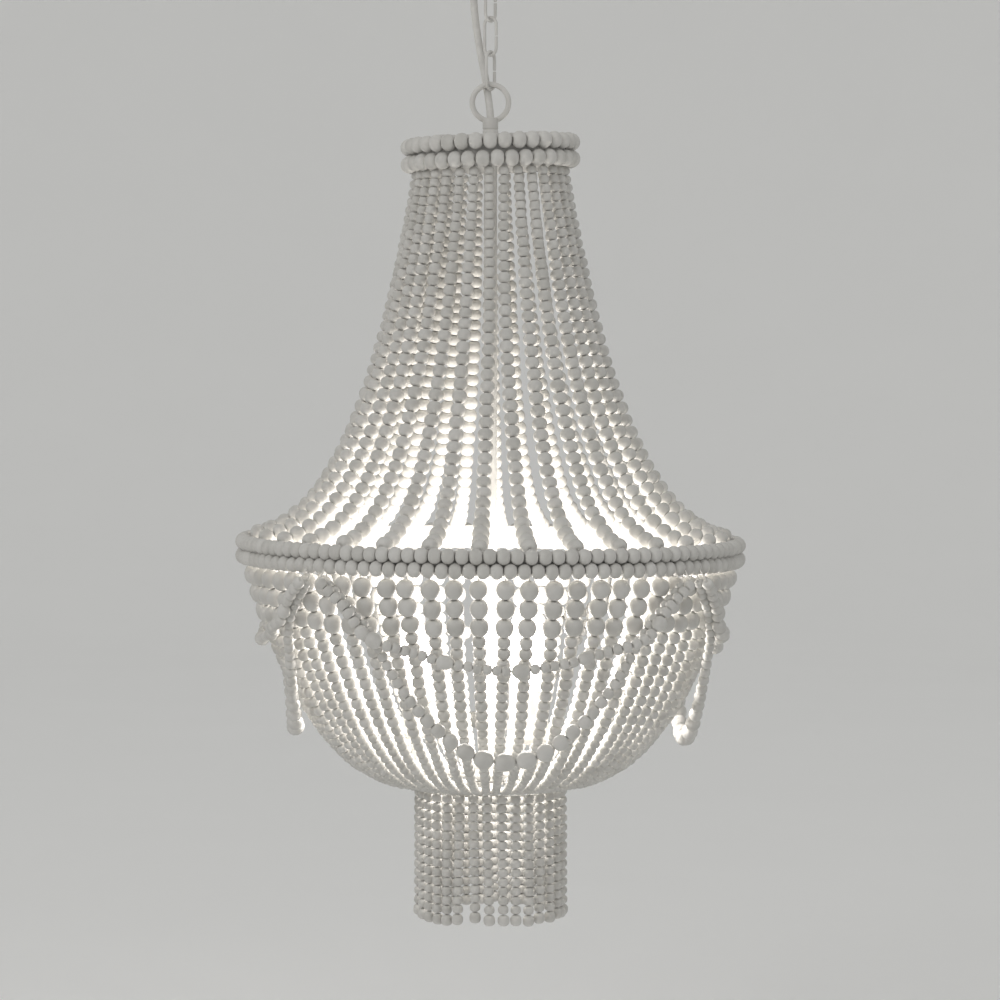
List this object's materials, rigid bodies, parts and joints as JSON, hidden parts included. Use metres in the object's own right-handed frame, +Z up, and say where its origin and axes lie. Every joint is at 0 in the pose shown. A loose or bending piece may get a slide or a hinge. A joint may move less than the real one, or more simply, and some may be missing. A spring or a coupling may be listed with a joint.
{
  "type": "beaded chandelier",
  "caption": "Chandelier of painted wooden beads: graded strands spread from a crown to a wide ring, a beaded basket closes below, with swags, a straight tassel and candle lamps inside.",
  "frame": {"origin": "on the ceiling, at the centre of the top face of the bracket that carries the chandelier", "axes": "+Z up, out of the ceiling bracket's top face; -Y towards the viewer of the picture, +X to the right in it"},
  "size_m": [0.4974, 0.4982, 0.9627],
  "materials": {
    "painted_bead": "matte off-white paint, lightly worn",
    "painted_steel": "satin off-white paint",
    "zinc_steel": "zinc plated",
    "white_plastic": "moulded, matte",
    "cable_sheath": "smooth plastic sheath",
    "bulb_glass": "opal, lit"
  },
  "bodies": {
    "ceiling_fitting": {"ceiling_bracket": "zinc_steel", "ceiling_canopy": "painted_steel", "threaded_nipple": "zinc_steel", "bracket_locknut": "zinc_steel", "terminal_block": "white_plastic", "ceiling_loop": "painted_steel", "cable_grip": "white_plastic"},
    "chain": {"chain_link_1": "painted_steel", "chain_link_2": "painted_steel", "chain_link_3": "painted_steel", "supply_cable": "cable_sheath"},
    "chandelier": {"stem_rod": "zinc_steel", "hanging_loop": "painted_steel", "crown_frame": "painted_steel", "stem_tube": "painted_steel", "main_band": "painted_steel", "bottom_ring": "painted_steel", "finial_nut": "painted_steel", "lamp_hub": "painted_steel", "crown_beads_upper": "painted_bead", "crown_beads_lower": "painted_bead", "main_beads_upper": "painted_bead", "main_beads_lower": "painted_bead", "tent_strands_1": "painted_bead", "basket_strands_1": "painted_bead", "tent_strands_2": "painted_bead", "basket_strands_2": "painted_bead", "tent_strands_3": "painted_bead", "basket_strands_3": "painted_bead", "tent_strands_4": "painted_bead", "basket_strands_4": "painted_bead", "lamp_arm_1": "painted_steel", "drip_cup_1": "painted_steel", "lampholder_1": "white_plastic", "candle_sleeve_1": "white_plastic", "lamp_arm_2": "painted_steel", "drip_cup_2": "painted_steel", "lampholder_2": "white_plastic", "candle_sleeve_2": "white_plastic", "lamp_arm_3": "painted_steel", "drip_cup_3": "painted_steel", "lampholder_3": "white_plastic", "candle_sleeve_3": "white_plastic"},
    "shallow_swag_1": {"shallow_swag_1": "painted_bead"},
    "deep_swag_1": {"deep_swag_1": "painted_bead"},
    "tassel_1": {"tassel_strands_1": "painted_bead"},
    "shallow_swag_2": {"shallow_swag_2": "painted_bead"},
    "deep_swag_2": {"deep_swag_2": "painted_bead"},
    "tassel_2": {"tassel_strands_2": "painted_bead"},
    "shallow_swag_3": {"shallow_swag_3": "painted_bead"},
    "deep_swag_3": {"deep_swag_3": "painted_bead"},
    "tassel_3": {"tassel_strands_3": "painted_bead"},
    "shallow_swag_4": {"shallow_swag_4": "painted_bead"},
    "deep_swag_4": {"deep_swag_4": "painted_bead"},
    "tassel_4": {"tassel_strands_4": "painted_bead"},
    "bulb_1": {"bulb_1": "bulb_glass"},
    "bulb_2": {"bulb_2": "bulb_glass"},
    "bulb_3": {"bulb_3": "bulb_glass"}
  },
  "joints": [
    {"name": "chain_swing", "type": "hinge", "parent": "ceiling_fitting", "child": "chain", "pos_m": [0, 0, -0.0498], "axis": [-0.5, 0.866, 0], "range_deg": [-10, 10], "deforming": ["supply_cable"]},
    {"name": "chandelier_swing", "type": "hinge", "parent": "chain", "child": "chandelier", "pos_m": [0, 0, -0.1436], "axis": [1, 0, 0], "range_deg": [-10, 10]},
    {"name": "deep_swag_1_swing", "type": "hinge", "parent": "chandelier", "child": "deep_swag_1", "pos_m": [0.01426, -0.18125, -0.61054], "axis": [-0.9969, -0.0785, 0], "range_deg": [0, 15]},
    {"name": "deep_swag_2_swing", "type": "hinge", "parent": "chandelier", "child": "deep_swag_2", "pos_m": [0.18125, 0.01426, -0.61054], "axis": [0.0785, -0.9969, 0], "range_deg": [0, 15]},
    {"name": "deep_swag_3_swing", "type": "hinge", "parent": "chandelier", "child": "deep_swag_3", "pos_m": [-0.01426, 0.18125, -0.61054], "axis": [0.9969, 0.0785, 0], "range_deg": [0, 15]},
    {"name": "deep_swag_4_swing", "type": "hinge", "parent": "chandelier", "child": "deep_swag_4", "pos_m": [-0.18125, -0.01426, -0.61054], "axis": [-0.0785, 0.9969, 0], "range_deg": [0, 15]},
    {"name": "shallow_swag_1_swing", "type": "hinge", "parent": "deep_swag_1", "child": "shallow_swag_1", "pos_m": [0.01451, -0.18434, -0.60809], "axis": [-0.9969, -0.0785, 0], "range_deg": [0, 15]},
    {"name": "shallow_swag_2_swing", "type": "hinge", "parent": "deep_swag_2", "child": "shallow_swag_2", "pos_m": [0.18434, 0.01451, -0.60809], "axis": [0.0785, -0.9969, 0], "range_deg": [0, 15]},
    {"name": "shallow_swag_3_swing", "type": "hinge", "parent": "deep_swag_3", "child": "shallow_swag_3", "pos_m": [-0.01451, 0.18434, -0.60809], "axis": [0.9969, 0.0785, 0], "range_deg": [0, 15]},
    {"name": "shallow_swag_4_swing", "type": "hinge", "parent": "deep_swag_4", "child": "shallow_swag_4", "pos_m": [-0.18434, -0.01451, -0.60809], "axis": [-0.0785, 0.9969, 0], "range_deg": [0, 15]},
    {"name": "tassel_1_swing", "type": "hinge", "parent": "chandelier", "child": "tassel_1", "pos_m": [0.03833, -0.05072, -0.8347], "axis": [-0.7978, -0.6029, 0], "range_deg": [0, 10]},
    {"name": "tassel_2_swing", "type": "hinge", "parent": "chandelier", "child": "tassel_2", "pos_m": [0.05072, 0.03833, -0.8347], "axis": [0.6029, -0.7978, 0], "range_deg": [0, 10]},
    {"name": "tassel_3_swing", "type": "hinge", "parent": "chandelier", "child": "tassel_3", "pos_m": [-0.03833, 0.05072, -0.8347], "axis": [0.7978, 0.6029, 0], "range_deg": [0, 10]},
    {"name": "tassel_4_swing", "type": "hinge", "parent": "chandelier", "child": "tassel_4", "pos_m": [-0.05072, -0.03833, -0.8347], "axis": [-0.6029, 0.7978, 0], "range_deg": [0, 10]},
    {"name": "bulb_1_lift", "type": "slide", "parent": "chandelier", "child": "bulb_1", "axis": [0, 0, 1], "range_m": [0, 0.02]},
    {"name": "bulb_2_lift", "type": "slide", "parent": "chandelier", "child": "bulb_2", "axis": [0, 0, 1], "range_m": [0, 0.02]},
    {"name": "bulb_3_lift", "type": "slide", "parent": "chandelier", "child": "bulb_3", "axis": [0, 0, 1], "range_m": [0, 0.02]}
  ]
}
